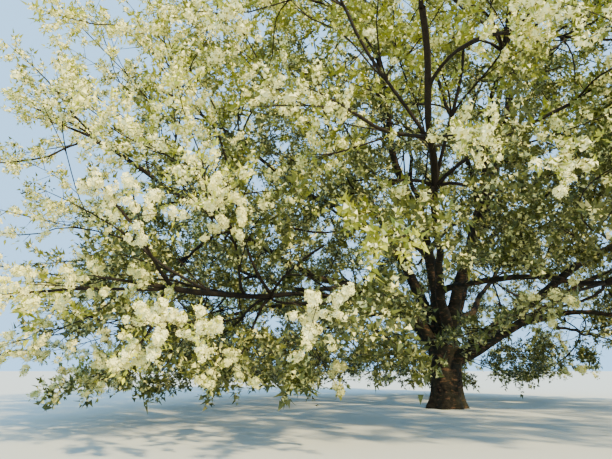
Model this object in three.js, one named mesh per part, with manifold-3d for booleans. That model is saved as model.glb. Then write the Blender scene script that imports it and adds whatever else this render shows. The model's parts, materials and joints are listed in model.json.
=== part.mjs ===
// A large wild cherry in full blossom, grown in the open: a short fluted trunk that forks low,
// steep stems and wide arching boughs, and a broad domed crown whose skirt hangs nearly to the ground.
// Millimetres, +Z up. The origin is the middle of the flat cut under the trunk, at ground level.
// +X is to the right and -Y is towards someone who looks at the tree from its front.
import * as THREE from "three";
import Module from "manifold-3d";

const wasm = await Module();
wasm.setup();

const DEGREE = Math.PI / 180;
const UP = new THREE.Vector3(0, 0, 1);
const SEED = 20117;
const SEED_STEP = 97; // from one mass to the next
const JOINT_GAP = 0.3; // left between two pieces of wood that meet

// The crown: the rounded space that all the foliage keeps to.
const CROWN = {
  radius: 9900, // from the trunk to the outermost tips
  height: 13600,
  widest: 0.24, // how far up the crown is widest, as a share of its height
  roundness: 2.5, // a higher power gives squarer shoulders
  undercut: 0.1, // how far the skirt tucks in at its foot
  reach: 0.09, // the crown reaches this much further towards longSide
  longSide: 220 * DEGREE,
  skirt: 500, // lowest twigs
  skirtLift: 1600, // the skirt is this much higher on the open side
  openSide: -42 * DEGREE,
  openness: 4, // a higher power makes the open side narrower
};
// Rings of lobes round the crown, which lean with height: how many, how far they stand out as a share of
// the crown's radius, where they start, and how far they turn over the crown's height.
const LOBES = [
  { count: 5, out: 0.05, start: 60 * DEGREE, lean: 80 * DEGREE },
  { count: 3, out: 0.03, start: 200 * DEGREE, lean: -150 * DEGREE },
];
// How much of an inset applies below, above and at the shoulder of the crown.
const INSET = { below: 0.4, above: 0.8, shoulder: 0.5 };
// The space round the trunk that is shaded bare.
const HOLLOW = { radius: 3900, middle: 2300, half: 3400 };

const TRUNK = {
  fork: 1800,
  waist: 410, // radius at the waist
  waistHeight: 850,
  foot: 560, // radius at the ground, between its flutes
  footFade: 230, // the flare fades over this height
  crotch: 480, // radius below the fork
  flutes: 7,
  fluteDepth: 0.11,
  lean: 0.05,
  sides: 24,
  rings: [0, 120, 300, 600, 1000, 1400, 1650, 1800],
  domeFrom: 1500,
  dome: 0.42, // the top ring's share of the radius
};

// Each tier is a ring of boughs round the tree, with a mass of foliage at the tip of each bough.
// centre and height place the masses, leave is where a bough leaves what bears it, climb is its first slope,
// and finish its slope at the tip. Radii are at the butt and at the tip.
const TIERS = [
  { tier: "middle", count: 7, turn: 2, centre: 7600, height: 4900, bearer: "trunk", leave: 1150,
    climb: 40, climbSwing: 20, finish: 22, butt: 162, tip: 66, inward: 0.33, sides: 6, steps: 6 },
  { tier: "upper", count: 5, turn: 20, centre: 3600, height: 10300, bearer: "trunk", leave: 1350,
    climb: 68, climbSwing: 4, finish: 70, butt: 185, tip: 66, inward: 0.22, sides: 7, steps: 6 },
  { tier: "skirt", count: 7, turn: 28, centre: 7500, height: 2200, bearer: "middle", leave: 0.42,
    climb: 0, climbSwing: 0, finish: -12, butt: 84, tip: 44, inward: 0.33, sides: 5, steps: 5 },
  { tier: "shoulder", count: 5, turn: -16, centre: 6200, height: 7800, bearer: "upper", leave: 0.34,
    climb: 0, climbSwing: 0, finish: 40, butt: 108, tip: 52, inward: 0.3, sides: 5, steps: 5 },
  { tier: "top", count: 1, turn: 40, centre: 250, height: 12300, bearer: "upper", leave: 0.62,
    climb: 0, climbSwing: 0, finish: 84, butt: 84, tip: 48, inward: 0.13, sides: 5, steps: 5 },
];
const UNEVEN = { azimuth: 5, centre: 0.035, height: 0.035 }; // how far a bough strays from its tier
const TRUNK_STAGGER = 230; // every other bough leaves the trunk this much higher
// A bough swells by its collar where it leaves what bears it, and thins with power towards its tip.
// start and finish are its curve's handles, as shares of the way from its foot to its tip.
const LIMB = { collar: 0.22, collarFade: 14, power: 1.15, start: 0.42, finish: 0.3 };

// The twigs of one mass of foliage. A twig runs on into a spray of blossom.
const TWIGS = {
  count: 9, // twigs in each mass, after its stem
  candidates: 8, // the most open of these places is where the next twig ends
  spread: [4600, 4600, 3500], // half the box that holds a mass's places
  edge: 90, // kept clear of the neighbouring masses
  placeEdge: 350, // twig ends keep this much clear of them, to leave room for their sprays
  inset: 1150, // twig ends stay this far inside the crown's edge
  balance: 0.35, // a higher value gives longer twigs that start nearer the stem's foot
  turn: 0.7, // how much a sharp turn counts against a twig
  share: 0.48, // a twig's butt as a share of the wood that bears it, so that it lies within it
  taper: 0.8, // a twig's tip as a share of its butt
  thinnest: 4.5,
  sides: 3,
  tries: 400, // looks for a place within its mass's space
  tolerance: 5, // slivers thinner than this are smoothed away
  clearance: 15, // kept from every bough
};
// The stem of a mass starts as a share of its bough's tip and runs past the mass's centre, by a share
// of the way from its foot to there, or steps back from that until it is within the mass's space.
const STEM = { start: 0.9, tip: 34, past: 0.45, back: 0.1, bend: 0.4, inset: 700, sides: 4, steps: 4 };
// A spray swells from its twig to its widest and ends in a point. Side sprays leave the middle of a twig.
const SPRAY = {
  length: 1750,
  vary: 0.15,
  width: 0.52, // as a share of the length, and so is widest
  widest: 0.62,
  outward: 0.35, // how far it turns away from the trunk
  splay: 0.85, // how far a side spray turns away from its twig
  sideAt: 0.5,
  shorter: [1, 0.8, 0.62, 0.45], // tried in turn where a longer one won't fit
};

const BARK = new THREE.MeshStandardMaterial({ color: 0x4a3d33, roughness: 0.9, metalness: 0 });
const BLOOM = new THREE.MeshStandardMaterial({ color: 0xf1edda, roughness: 0.7, metalness: 0 });

// Whole-number draws, so that a seed always gives the same tree.
function seeded(seed) {
  let state = seed;
  return () => {
    state = (state * 48271) % 2147483647;
    return state / 2147483647;
  };
}

const flat = (azimuth) => new THREE.Vector3(Math.cos(azimuth), Math.sin(azimuth), 0);
const azimuthOf = (p) => Math.atan2(p.y, p.x);
const between = (a, b, share) => a.clone().lerp(b, share);

// A direction at an azimuth that climbs at an angle, both in radians.
function heading(azimuth, climb) {
  return flat(azimuth).multiplyScalar(Math.cos(climb)).addScaledVector(UP, Math.sin(climb));
}

// How much further the crown reaches at an azimuth than on average.
const pull = (azimuth) => 1 + CROWN.reach * Math.cos(azimuth - CROWN.longSide);

// How far the crown reaches at an azimuth and a height.
function crownEdge(azimuth, height) {
  const up = THREE.MathUtils.clamp(height / CROWN.height, 0, 1);
  const above = Math.max(0, (up - CROWN.widest) / (1 - CROWN.widest));
  const below = Math.max(0, (CROWN.widest - up) / CROWN.widest);
  const round = Math.sqrt(1 - above ** CROWN.roundness) * (1 - CROWN.undercut * below * below);
  const lobed = LOBES.map((l) => l.out * Math.sin(l.count * azimuth + l.start + l.lean * up));
  return CROWN.radius * round * lobed.reduce((sum, out) => sum + out, pull(azimuth));
}

// The height of the skirt's hem at an azimuth.
function hem(azimuth) {
  const open = (1 + Math.cos(azimuth - CROWN.openSide)) / 2;
  return CROWN.skirt + CROWN.skirtLift * open ** CROWN.openness;
}

// Whether a point lies in the leafy part of the crown, at least inset inside its edge.
function inCrown(p, inset) {
  const azimuth = azimuthOf(p);
  const out = Math.hypot(p.x, p.y);
  const low = (p.z - HOLLOW.middle) / HOLLOW.half;
  const bare = (out / HOLLOW.radius) ** 2 + low * low < 1;
  const aboveHem = p.z > hem(azimuth) + inset * INSET.below;
  const belowTop = p.z < CROWN.height - inset * INSET.above;
  const inside = out + inset < crownEdge(azimuth, p.z + inset * INSET.shoulder);
  return !bare && aboveHem && belowTop && inside;
}

// The axis of the trunk at a height, and its radius there.
const trunkAxis = (height) => new THREE.Vector3(TRUNK.lean * height, 0, height);

function trunkRadius(height) {
  const flare = (TRUNK.foot - TRUNK.waist) * Math.exp(-height / TRUNK.footFade);
  const rise = THREE.MathUtils.smoothstep(height, TRUNK.waistHeight, TRUNK.fork);
  const dome = THREE.MathUtils.smoothstep(height, TRUNK.domeFrom, TRUNK.fork);
  const radius = TRUNK.waist + flare + rise * (TRUNK.crotch - TRUNK.waist);
  return radius * (1 - dome * (1 - TRUNK.dome));
}

// The boughs and masses, laid out tier by tier. A bough is a curve with a radius along it.
function layOut() {
  const draw = seeded(SEED);
  const stray = (size) => size * (2 * draw() - 1);
  const boughs = [];
  for (const t of TIERS) {
    const bearers = boughs.filter((b) => b.tier === t.bearer);
    for (let i = 0; i < t.count; i++) {
      const azimuth = (t.turn + (360 * i) / t.count + stray(UNEVEN.azimuth)) * DEGREE;
      const out = t.centre * pull(azimuth) * (1 + stray(UNEVEN.centre));
      const height = t.height * (1 + stray(UNEVEN.height));
      const centre = flat(azimuth).multiplyScalar(out).setZ(height);
      boughs.push(makeBough(t, i, azimuth, centre, bearers));
    }
  }
  return boughs;
}

function makeBough(t, i, azimuth, centre, bearers) {
  let foot, start;
  if (t.bearer === "trunk") {
    foot = trunkAxis(t.leave + TRUNK_STAGGER * (i % 2));
    start = heading(azimuth, (t.climb - t.climbSwing * Math.cos(azimuth)) * DEGREE);
  } else {
    const turnTo = (b) => 1 - Math.cos(b.azimuth - azimuth);
    const bearer = bearers.reduce((a, b) => (turnTo(b) < turnTo(a) ? b : a));
    foot = bearer.curve.getPoint(t.leave);
    start = centre.clone().sub(foot).normalize().add(bearer.curve.getTangent(t.leave)).normalize();
  }
  const tip = between(centre, foot, t.inward);
  const length = foot.distanceTo(tip);
  const finish = heading(azimuth, t.finish * DEGREE);
  const curve = new THREE.CubicBezierCurve3(
    foot,
    foot.clone().addScaledVector(start, length * LIMB.start),
    tip.clone().addScaledVector(finish, -length * LIMB.finish),
    tip,
  );
  const name = t.count > 1 ? `${t.tier}_${i + 1}` : t.tier;
  return { ...t, name, azimuth, centre, curve, finishWay: finish, tipPoint: tip };
}

// A bough's radius at a share of its length.
function boughRadius(b, share) {
  const swell = 1 + LIMB.collar * Math.exp(-share * LIMB.collarFade);
  return (b.tip + (b.butt - b.tip) * (1 - share) ** LIMB.power) * swell;
}

// A closed tube through rings, each with its middle p, its way ahead and its radius. A ring with no radius
// is a point. flute shapes the rings by angle and ring.
function tube(rings, sides, flute = () => 1) {
  const corners = [];
  const faces = [];
  let side = Math.abs(rings[0].way.z) > 0.9 ? new THREE.Vector3(1, 0, 0) : UP;
  rings.forEach(({ p, way, radius }, i) => {
    side = side.clone().addScaledVector(way, -way.dot(side)).normalize();
    const across = way.clone().cross(side);
    const first = corners.length;
    for (let k = 0; k < (radius ? sides : 1); k++) {
      const angle = (2 * Math.PI * k) / sides;
      const reach = radius * flute(angle, i);
      const corner = p.clone().addScaledVector(side, reach * Math.cos(angle));
      corners.push(corner.addScaledVector(across, reach * Math.sin(angle)));
    }
    if (i === 0) return;
    for (let k = 0; k < sides; k++) {
      const next = (k + 1) % sides;
      const [a, b] = [first - sides + k, first - sides + next];
      if (radius) faces.push(a, b, first + next, a, first + next, first + k);
      else faces.push(a, b, first);
    }
  });
  const last = corners.length - sides;
  for (let k = 1; k + 1 < sides; k++) {
    faces.push(0, k + 1, k);
    if (rings[rings.length - 1].radius) faces.push(last, last + k, last + k + 1);
  }
  return new THREE.BufferGeometry().setFromPoints(corners).setIndex(faces);
}

// A closed geometry as a solid that can be joined and cut.
function solidOf(geometry) {
  return new wasm.Manifold(
    new wasm.Mesh({
      numProp: 3,
      vertProperties: Float32Array.from(geometry.getAttribute("position").array),
      triVerts: Uint32Array.from(geometry.index.array),
    }),
  );
}

// The largest body of a solid, without scraps and sealed hollows, as a geometry.
function geometryOf(solid) {
  const body = solid.decompose().reduce((a, b) => (b.volume() > a.volume() ? b : a));
  const mesh = body.getMesh();
  return new THREE.BufferGeometry()
    .setAttribute("position", new THREE.BufferAttribute(mesh.vertProperties, 3))
    .setIndex(new THREE.BufferAttribute(mesh.triVerts, 1));
}

function trunkSolid(grow) {
  const flute = (angle, ring) => {
    const fade = Math.exp(-TRUNK.rings[ring] / (2 * TRUNK.footFade));
    return 1 + TRUNK.fluteDepth * fade * Math.cos(TRUNK.flutes * angle);
  };
  const ringAt = (height) => ({ p: trunkAxis(height), way: UP, radius: trunkRadius(height) + grow });
  return solidOf(tube(TRUNK.rings.map(ringAt), TRUNK.sides, flute));
}

function boughSolid(b, grow) {
  const rings = [];
  for (let i = 0; i <= b.steps; i++) {
    const share = i / b.steps;
    const radius = boughRadius(b, share) + grow;
    rings.push({ p: b.curve.getPoint(share), way: b.curve.getTangent(share), radius });
  }
  return solidOf(tube(rings, b.sides));
}

// The shortest distance between the segments ab and cd.
function segmentGap(a, b, c, d) {
  const u = b.clone().sub(a);
  const v = d.clone().sub(c);
  const w = a.clone().sub(c);
  const uu = u.dot(u), uv = u.dot(v), vv = v.dot(v), uw = u.dot(w), vw = v.dot(w);
  const flatness = uu * vv - uv * uv;
  const clamp = THREE.MathUtils.clamp;
  let s = flatness > 1e-9 ? clamp((uv * vw - vv * uw) / flatness, 0, 1) : 0;
  const t = clamp((uv * s + vw) / vv, 0, 1);
  s = clamp((uv * t - uw) / uu, 0, 1);
  return a.clone().addScaledVector(u, s).distanceTo(c.clone().addScaledVector(v, t));
}

// Every bough, and the trunk, as straight stretches with the radius of each.
function stretchesOf(boughs) {
  const stretches = [{ a: trunkAxis(0), b: trunkAxis(TRUNK.fork), radius: TRUNK.foot }];
  for (const b of boughs) {
    for (let i = 0; i < b.steps; i++) {
      const [from, to] = [i / b.steps, (i + 1) / b.steps];
      stretches.push({ a: b.curve.getPoint(from), b: b.curve.getPoint(to), radius: boughRadius(b, from) });
    }
  }
  return stretches;
}

// One mass of foliage: a stem that carries on from its bough, twigs that branch from it, and their sprays.
class Mass {
  constructor(bough, boughs, stretches, seed) {
    Object.assign(this, { bough, boughs, stretches });
    this.draw = seeded(seed);
    this.pieces = [];
    this.nodes = []; // the places that later twigs can leave from
    this.growStem();
    this.growTwigs();
  }

  // Whether a point is in this mass's own space: nearer its centre than any other, by an edge.
  owns(p, edge) {
    const own = this.bough.centre;
    return this.boughs.every(({ centre }) => {
      if (centre === own) return true;
      const across = own.clone().sub(centre).normalize();
      return p.clone().sub(between(own, centre, 0.5)).dot(across) > edge;
    });
  }

  clearOfBoughs(a, b, reach) {
    return this.stretches.every((s) => segmentGap(a, b, s.a, s.b) > s.radius + reach + TWIGS.clearance);
  }

  growStem() {
    const { tipPoint, finishWay, centre, tip } = this.bough;
    this.foot = tipPoint.clone().addScaledVector(finishWay, JOINT_GAP);
    let far = between(tipPoint, centre, 1 + STEM.past);
    for (let i = 0; i < TWIGS.tries && !(this.owns(far, TWIGS.edge) && inCrown(far, STEM.inset)); i++) {
      far = between(far, centre, STEM.back);
    }
    const bend = this.foot.clone().addScaledVector(finishWay, this.foot.distanceTo(far) * STEM.bend);
    const stem = new THREE.QuadraticBezierCurve3(this.foot, bend, far);
    const rings = [];
    let path = 0;
    for (let i = 0; i <= STEM.steps; i++) {
      const share = i / STEM.steps;
      const ring = { p: stem.getPoint(share), way: stem.getTangent(share) };
      ring.radius = THREE.MathUtils.lerp(tip * STEM.start, STEM.tip, share);
      if (i) path += ring.p.distanceTo(rings[i - 1].p);
      if (i) this.nodes.push({ ...ring, path });
      rings.push(ring);
    }
    this.pieces.push(tube([...rings, ...this.spray(far, stem.getTangent(1))], STEM.sides));
  }

  // A place for the next twig's end: the one of several candidates that is furthest from those taken.
  nextPlace(taken) {
    let best = null;
    let bestRoom = -1;
    for (let found = 0, tries = 0; found < TWIGS.candidates && tries < TWIGS.tries; tries++) {
      const [x, y, z] = TWIGS.spread.map((half) => half * (2 * this.draw() - 1));
      const p = new THREE.Vector3(x, y, z).add(this.bough.centre);
      if (!this.owns(p, TWIGS.placeEdge) || !inCrown(p, TWIGS.inset)) continue;
      found++;
      const room = Math.min(...taken.map((q) => q.distanceTo(p)));
      if (room > bestRoom) [best, bestRoom] = [p, room];
    }
    return best;
  }

  growTwigs() {
    const taken = this.nodes.map((n) => n.p);
    const places = [];
    for (let i = 0; i < TWIGS.count; i++) {
      const place = this.nextPlace(taken);
      if (!place) break;
      taken.push(place);
      places.push(place);
    }
    places.sort((a, b) => a.distanceTo(this.foot) - b.distanceTo(this.foot));
    places.forEach((place, i) => this.growTwig(place, i));
  }

  // Joins a place to the wood that bears it best: near, not far along the wood, and without a sharp turn.
  growTwig(place, i) {
    const ranked = this.nodes
      .map((node) => {
        const way = place.clone().sub(node.p);
        const length = way.length();
        const turn = 1 - way.normalize().dot(node.way);
        return { node, way, length, cost: length * (1 + TWIGS.turn * turn) + TWIGS.balance * node.path };
      })
      .sort((a, b) => a.cost - b.cost);
    const found = ranked.find(({ node }) => this.clearOfBoughs(node.p, place, STEM.tip));
    if (!found) return;
    const { node, way, length } = found;
    const butt = Math.max(node.radius * TWIGS.share, TWIGS.thinnest);
    const tip = Math.max(butt * TWIGS.taper, TWIGS.thinnest);
    const rings = [{ p: node.p, way, radius: butt }, { p: place, way, radius: tip }];
    this.pieces.push(tube([...rings, ...this.spray(place, way)], TWIGS.sides));
    for (const share of [SPRAY.sideAt, 1]) {
      const radius = THREE.MathUtils.lerp(butt, tip, share);
      this.nodes.push({ p: between(node.p, place, share), path: node.path + share * length, radius, way });
    }
    const side = way.clone().cross(UP).normalize().multiplyScalar(i % 2 ? SPRAY.splay : -SPRAY.splay);
    const sideWay = way.clone().add(side).normalize();
    const rootRadius = Math.max(tip * TWIGS.share, TWIGS.thinnest);
    const root = { p: between(node.p, place, SPRAY.sideAt), way: sideWay, radius: rootRadius };
    const sideSpray = this.spray(root.p, sideWay);
    if (sideSpray.length) this.pieces.push(tube([root, ...sideSpray], TWIGS.sides));
  }

  // The rings of a spray from a place on, or none if it would leave this mass's space or touch a bough.
  spray(place, twigWay) {
    const way = twigWay.clone().addScaledVector(flat(azimuthOf(place)), SPRAY.outward).normalize();
    const full = SPRAY.length * (1 + SPRAY.vary * (2 * this.draw() - 1));
    for (const share of SPRAY.shorter) {
      const length = full * share;
      const radius = (SPRAY.width * length) / 2;
      const middle = place.clone().addScaledVector(way, SPRAY.widest * length);
      const end = place.clone().addScaledVector(way, length);
      const fits =
        this.owns(middle, radius + TWIGS.edge / 2) &&
        this.owns(end, TWIGS.edge / 2) &&
        inCrown(middle, radius) &&
        inCrown(end, 0) &&
        this.clearOfBoughs(place, end, radius);
      if (fits) return [{ p: middle, way, radius }, { p: end, way, radius: 0 }];
    }
    return [];
  }

  solid() {
    return this.pieces.map(solidOf).reduce((all, piece) => all.add(piece)).simplify(TWIGS.tolerance);
  }
}

function meshOf(name, solid, material) {
  const mesh = new THREE.Mesh(geometryOf(solid), material);
  mesh.name = name;
  return mesh;
}

const tree = new THREE.Group();
tree.name = "cherry_blossom_tree";

const trunk = trunkSolid(0);
tree.add(meshOf("trunk", trunk, BARK));

// Each bough is cut back to the trunk and to every bough made before it, a hair's breadth clear.
const boughs = layOut();
const wood = new THREE.Group();
const grown = [trunkSolid(JOINT_GAP)];
for (const b of boughs) {
  const cut = grown.reduce((solid, earlier) => solid.subtract(earlier), boughSolid(b, 0));
  wood.add(meshOf(`bough_${b.name}`, cut, BARK));
  grown.push(boughSolid(b, JOINT_GAP));
}
tree.add(wood);

const foliage = new THREE.Group();
const stretches = stretchesOf(boughs);
boughs.forEach((b, i) => {
  const mass = new Mass(b, boughs, stretches, SEED + (i + 1) * SEED_STEP);
  foliage.add(meshOf(`foliage_${b.name}`, mass.solid(), BLOOM));
});
tree.add(foliage);

export default tree;
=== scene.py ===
"""The looks of a large spreading cherry in white blossom and young leaf.

The trunk, boughs and foliage grow by the part's own seeded rule, written again here in metres and then
carried on to finer twigs inside the same crown. Twigs end in sprays of side shoots with clusters
of blossom and young leaves along them.
"""

import json
import math

import bpy
import numpy as np
from mathutils import Euler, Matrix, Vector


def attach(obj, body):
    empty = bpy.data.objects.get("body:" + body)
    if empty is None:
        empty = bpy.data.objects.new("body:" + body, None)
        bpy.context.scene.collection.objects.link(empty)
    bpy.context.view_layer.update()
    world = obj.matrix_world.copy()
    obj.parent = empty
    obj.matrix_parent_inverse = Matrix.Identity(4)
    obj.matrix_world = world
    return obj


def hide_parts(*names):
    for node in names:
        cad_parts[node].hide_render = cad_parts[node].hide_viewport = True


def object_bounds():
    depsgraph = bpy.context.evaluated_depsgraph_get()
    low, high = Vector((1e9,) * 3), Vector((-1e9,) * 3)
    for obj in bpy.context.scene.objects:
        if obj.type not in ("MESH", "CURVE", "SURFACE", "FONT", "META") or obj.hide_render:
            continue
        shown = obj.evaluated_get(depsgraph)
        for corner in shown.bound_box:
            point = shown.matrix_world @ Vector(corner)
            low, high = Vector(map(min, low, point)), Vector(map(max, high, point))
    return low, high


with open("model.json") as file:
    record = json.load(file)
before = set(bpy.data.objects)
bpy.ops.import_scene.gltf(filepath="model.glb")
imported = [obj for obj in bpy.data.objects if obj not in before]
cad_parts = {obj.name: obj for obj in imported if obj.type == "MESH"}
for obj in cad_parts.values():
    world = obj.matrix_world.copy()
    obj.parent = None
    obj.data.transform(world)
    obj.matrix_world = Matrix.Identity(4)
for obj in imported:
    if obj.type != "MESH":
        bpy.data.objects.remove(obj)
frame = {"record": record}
solid_box = np.array([list(corner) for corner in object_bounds()])
NODE_NAMES = [part["node"] for part in frame["record"]["subparts"]]
BOUGH_NODES = [name for name in NODE_NAMES if name.startswith("bough_")]
FOLIAGE_NODES = [name for name in NODE_NAMES if name.startswith("foliage_")]

UP = np.array([0.0, 0.0, 1.0])
SEED = 20117
SEED_STEP = 97  # from one mass of foliage to the next
rng = np.random.default_rng(SEED)  # for the looks alone: the part's rule draws by itself


# The sizes of the part's own rule, in metres


class Crown:
    """The rounded space that the foliage keeps to."""

    radius = 9.9  # from the trunk to the outermost tips
    height = 13.6
    widest = 0.24  # how far up the crown is widest, as a share of its height
    roundness = 2.5  # a higher power gives squarer shoulders
    undercut = 0.1  # how far the skirt tucks in at its foot
    reach = 0.09  # the crown reaches this much further towards its long side
    long_side = math.radians(220)
    skirt = 0.5  # the lowest twigs
    skirt_lift = 1.6  # the skirt is this much higher on the open side
    open_side = math.radians(-42)
    openness = 4  # a higher power makes the open side narrower
    # the finer growth is lifted off this side, wholly up to the first angle and less up to the second
    free_side = math.radians(-50)
    free_fade = (math.radians(45), math.radians(70))
    free_lift = 2.1
    # how much of an inset applies below, above and at the shoulder
    below, above, shoulder = 0.4, 0.8, 0.5
    # rings of lobes: how many, how far out, where they start and how far they turn with height
    lobes = (
        (5, 0.05, math.radians(60), math.radians(80)),
        (3, 0.03, math.radians(200), math.radians(-150)),
    )


class Hollow:
    """The space round the trunk that is shaded bare."""

    radius = 3.9
    middle = 2.3  # the height of its middle
    half = 3.4  # half its own height


class Trunk:
    """The trunk from its flat foot to its fork. Its widths are radii."""

    fork = 1.8
    waist = 0.41
    waist_height = 0.85
    foot = 0.56
    foot_fade = 0.23  # the flare fades over this height
    crotch = 0.48
    flutes = 7
    flute_depth = 0.11
    lean = 0.05
    dome_from = 1.5
    dome = 0.42  # the top ring's share of the radius
    cap = 0.05  # how far its middle stands above that ring
    rings = 90
    sides = 120


# Each tier is a ring of boughs round the tree. centre and height place the foliage at their tips, leave is
# where a bough leaves what bears it, climb is its first slope and finish its slope at the tip, in degrees.
# swing lowers the first slope on the right and raises it on the left. A bough ends short of the middle of
# its foliage by the share inward, and butt and tip are its radii.
TIERS = [
    dict(tier="middle", count=7, turn=2, centre=7.6, height=4.9, bearer="trunk", leave=1.15, climb=40,
         swing=20, finish=22, butt=0.162, tip=0.066, inward=0.33, steps=6),
    dict(tier="upper", count=5, turn=20, centre=3.6, height=10.3, bearer="trunk", leave=1.35, climb=68,
         swing=4, finish=70, butt=0.185, tip=0.066, inward=0.22, steps=6),
    dict(tier="skirt", count=7, turn=28, centre=7.5, height=2.2, bearer="middle", leave=0.42, climb=0,
         swing=0, finish=-12, butt=0.084, tip=0.044, inward=0.33, steps=5),
    dict(tier="shoulder", count=5, turn=-16, centre=6.2, height=7.8, bearer="upper", leave=0.34, climb=0,
         swing=0, finish=40, butt=0.108, tip=0.052, inward=0.3, steps=5),
    dict(tier="top", count=1, turn=40, centre=0.25, height=12.3, bearer="upper", leave=0.62, climb=0,
         swing=0, finish=84, butt=0.084, tip=0.048, inward=0.13, steps=5),
]
UNEVEN = dict(azimuth=5, centre=0.035, height=0.035)  # how far a bough strays from its tier
TRUNK_STAGGER = 0.23  # every other bough leaves the trunk this much higher
# A bough swells by its collar where it starts and thins with power. start and finish are its curve's handles.
LIMB = dict(collar=0.22, collar_fade=14, power=1.15, start=0.42, finish=0.3)


class Twigs:
    """The twigs of one mass of foliage: the part's own and then the finer ones."""

    count = 9
    candidates = 8  # the most open of these places is where the next twig ends
    spread = (4.6, 4.6, 3.5)  # half the box that holds a mass's places
    edge = 0.09  # kept clear of the neighbouring masses
    place_edge = 0.35  # kept clear of them by the part's twig ends
    inset = 1.15  # how far inside the crown's edge the part's twigs end
    balance = 0.35  # a higher value gives longer twigs that start nearer the stem's foot
    turn = 0.7  # how much a sharp turn counts against a twig
    share = 0.48  # a twig's butt as a share of the wood that bears it
    taper = 0.8  # a twig's tip as a share of its butt
    thinnest = 0.0045
    tries = 400  # at places within its mass's space
    clearance = 0.015  # kept from the trunk and every bough
    finer = dict(middle=40, upper=39, skirt=53, shoulder=36, top=38)  # how many in a mass of each tier
    finer_inset = 0.6
    finer_edge = 0.12
    outward = 1.1  # a higher value leaves the inside of the crown barer


class Stem:
    """The stem of one mass, from its bough's tip past the mass's centre."""

    start = 0.9  # its radius there, as a share of the bough's
    tip = 0.034
    past = 0.45  # how far it passes that centre, as a share of the way there
    back = 0.1  # how far its end is drawn back when it doesn't fit
    bend = 0.4  # how long it keeps to the bough's way
    inset = 0.7  # how far inside the crown's edge it ends
    steps = 4  # from one place where twigs leave it to the next
    waver = 0.03  # of its bark between those places
    rings, sides = 4 * steps + 1, 8


class Spray:
    """A spray swells from its twig to its widest and ends in a point. Side sprays leave a twig's middle."""

    length = 1.75
    finer_length = 1.25
    finer_breadth = 1.4  # of a finer spray's shoots, as a share of a spray's own
    finer_clearance = 0.3  # share of half its width that a finer spray keeps clear of the boughs
    vary = 0.15  # share by which the length varies
    width = 0.52  # as a share of the length, and so is widest
    widest = 0.62
    outward = 0.35  # how far it turns away from the trunk
    splay = 0.85  # how far a side spray turns away from its twig
    side_at = 0.5
    side_radius = 0.7  # as a share of its twig's
    shorter = (1, 0.8, 0.62, 0.45)  # tried in turn where a longer one won't fit


# The sizes of the looks alone


class Bark:
    """The bark's relief and how it follows the limbs and twigs."""

    trunk_depth, bough_depth = 0.012, 0.005
    # long cracks: how many lie round a limb, and the length over which they sway
    cracks = ((5, 0.5), (9, 0.35), (17, 0.22), (31, 0.12))
    narrow = 6  # a higher power makes the cracks narrower
    sway, ripple = 1.6, 0.7  # how far a crack sways round the limb, and ripples on its way
    ripple_length = 0.37  # as a share of the sway's
    grain = 0.15  # as a share of a crack's depth
    bough_rings, bough_sides = 40, 14
    bough_waves, waver = (2, 3, 4, 5, 7, 9), 0.018  # how a bough's bark strays about its curve
    fuller, stouter = 1.1, 0.005  # a twig's radius with its bark: the part's times fuller, plus stouter
    collar, collar_fade = 0.5, 12  # how a twig swells where it starts
    stout = 0.009  # twigs from this radius on get rounder bark than slender ones
    stout_rings, stout_sides = 8, 5
    slender_rings, slender_sides = 6, 3
    bare_end = 0.25  # how thin a twig without a spray at its end gets there


class Bow:
    """How a twig curves on its way."""

    follow = 1.3  # how much it first keeps to the way of the wood that bears it
    size = 0.09  # how far it strays, as a share of its length
    near_foot = 0.5  # the share of that near its foot
    handle = 0.36  # of the curve, as a share of its length


class Shoots:
    """The fine growth of one spray: a main shoot, side shoots and clusters along them."""

    rings = 5
    sides = 3
    count = 7  # side shoots on each main one
    first, last = 0.1, 0.95  # where they leave it
    stray, within = 0.05, (0.02, 0.97)  # how far from those places, and between which ends
    turn = math.radians(137.5)  # from one side shoot to the next
    splay = math.radians(55)
    least = 0.13  # a side shoot's least reach to the side, as a share of the spray's length
    uneven = (0.7, 1.1)  # times that reach
    bend = 0.07  # of a main shoot's tip to the side, as a share of the spray's length
    handle = 0.45
    thinning = 0.8  # power of a main shoot's taper
    tip_radius = 0.003
    side_taper = (0.006, 0.0024)  # a side shoot's radius at its foot and its end
    lowest = 0.45  # no side shoot hangs lower
    on_side = (0.72, 1.0)  # clusters along each side shoot
    on_main = (0.45, 0.74, 1.0)


class Low:
    """A cluster of whole flowers with folded leaves, at the crown's edge and low enough to be looked into."""

    spread = 0.06  # of the cluster along its shoot
    offset = 0.05  # from the shoot to a flower's heart
    in_bloom = 0.68  # the share of clusters with blossom
    petals, petal = 14, 0.036  # how many flowers or loose petals, and the radius of each
    leaves, leaf_length, leaf_width = 4, 0.085, 0.42  # the width is a share of the length
    low_growth = 0  # leaves lower down are longer by up to this share
    fine = False  # true for loose petals and flat leaves


class High:
    """The same higher up, with loose petals and flat leaves strung along the shoot."""

    spread = 0.08
    offset = 0.05
    in_bloom = 0.76
    petals, petal = 23, 0.03
    leaves, leaf_length, leaf_width = 7, 0.086, 0.5
    low_growth = 0
    fine = True


class Inner:
    """The same deep inside the crown and on leafy sprays: a few petals in each, and larger leaves."""

    spread = 0.17
    offset = 0.06
    in_bloom = 1
    petals, petal = 7, 0.035
    leaves, leaf_length, leaf_width = 10, 0.12, 0.62
    low_growth = 0.1
    fine = True


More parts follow.
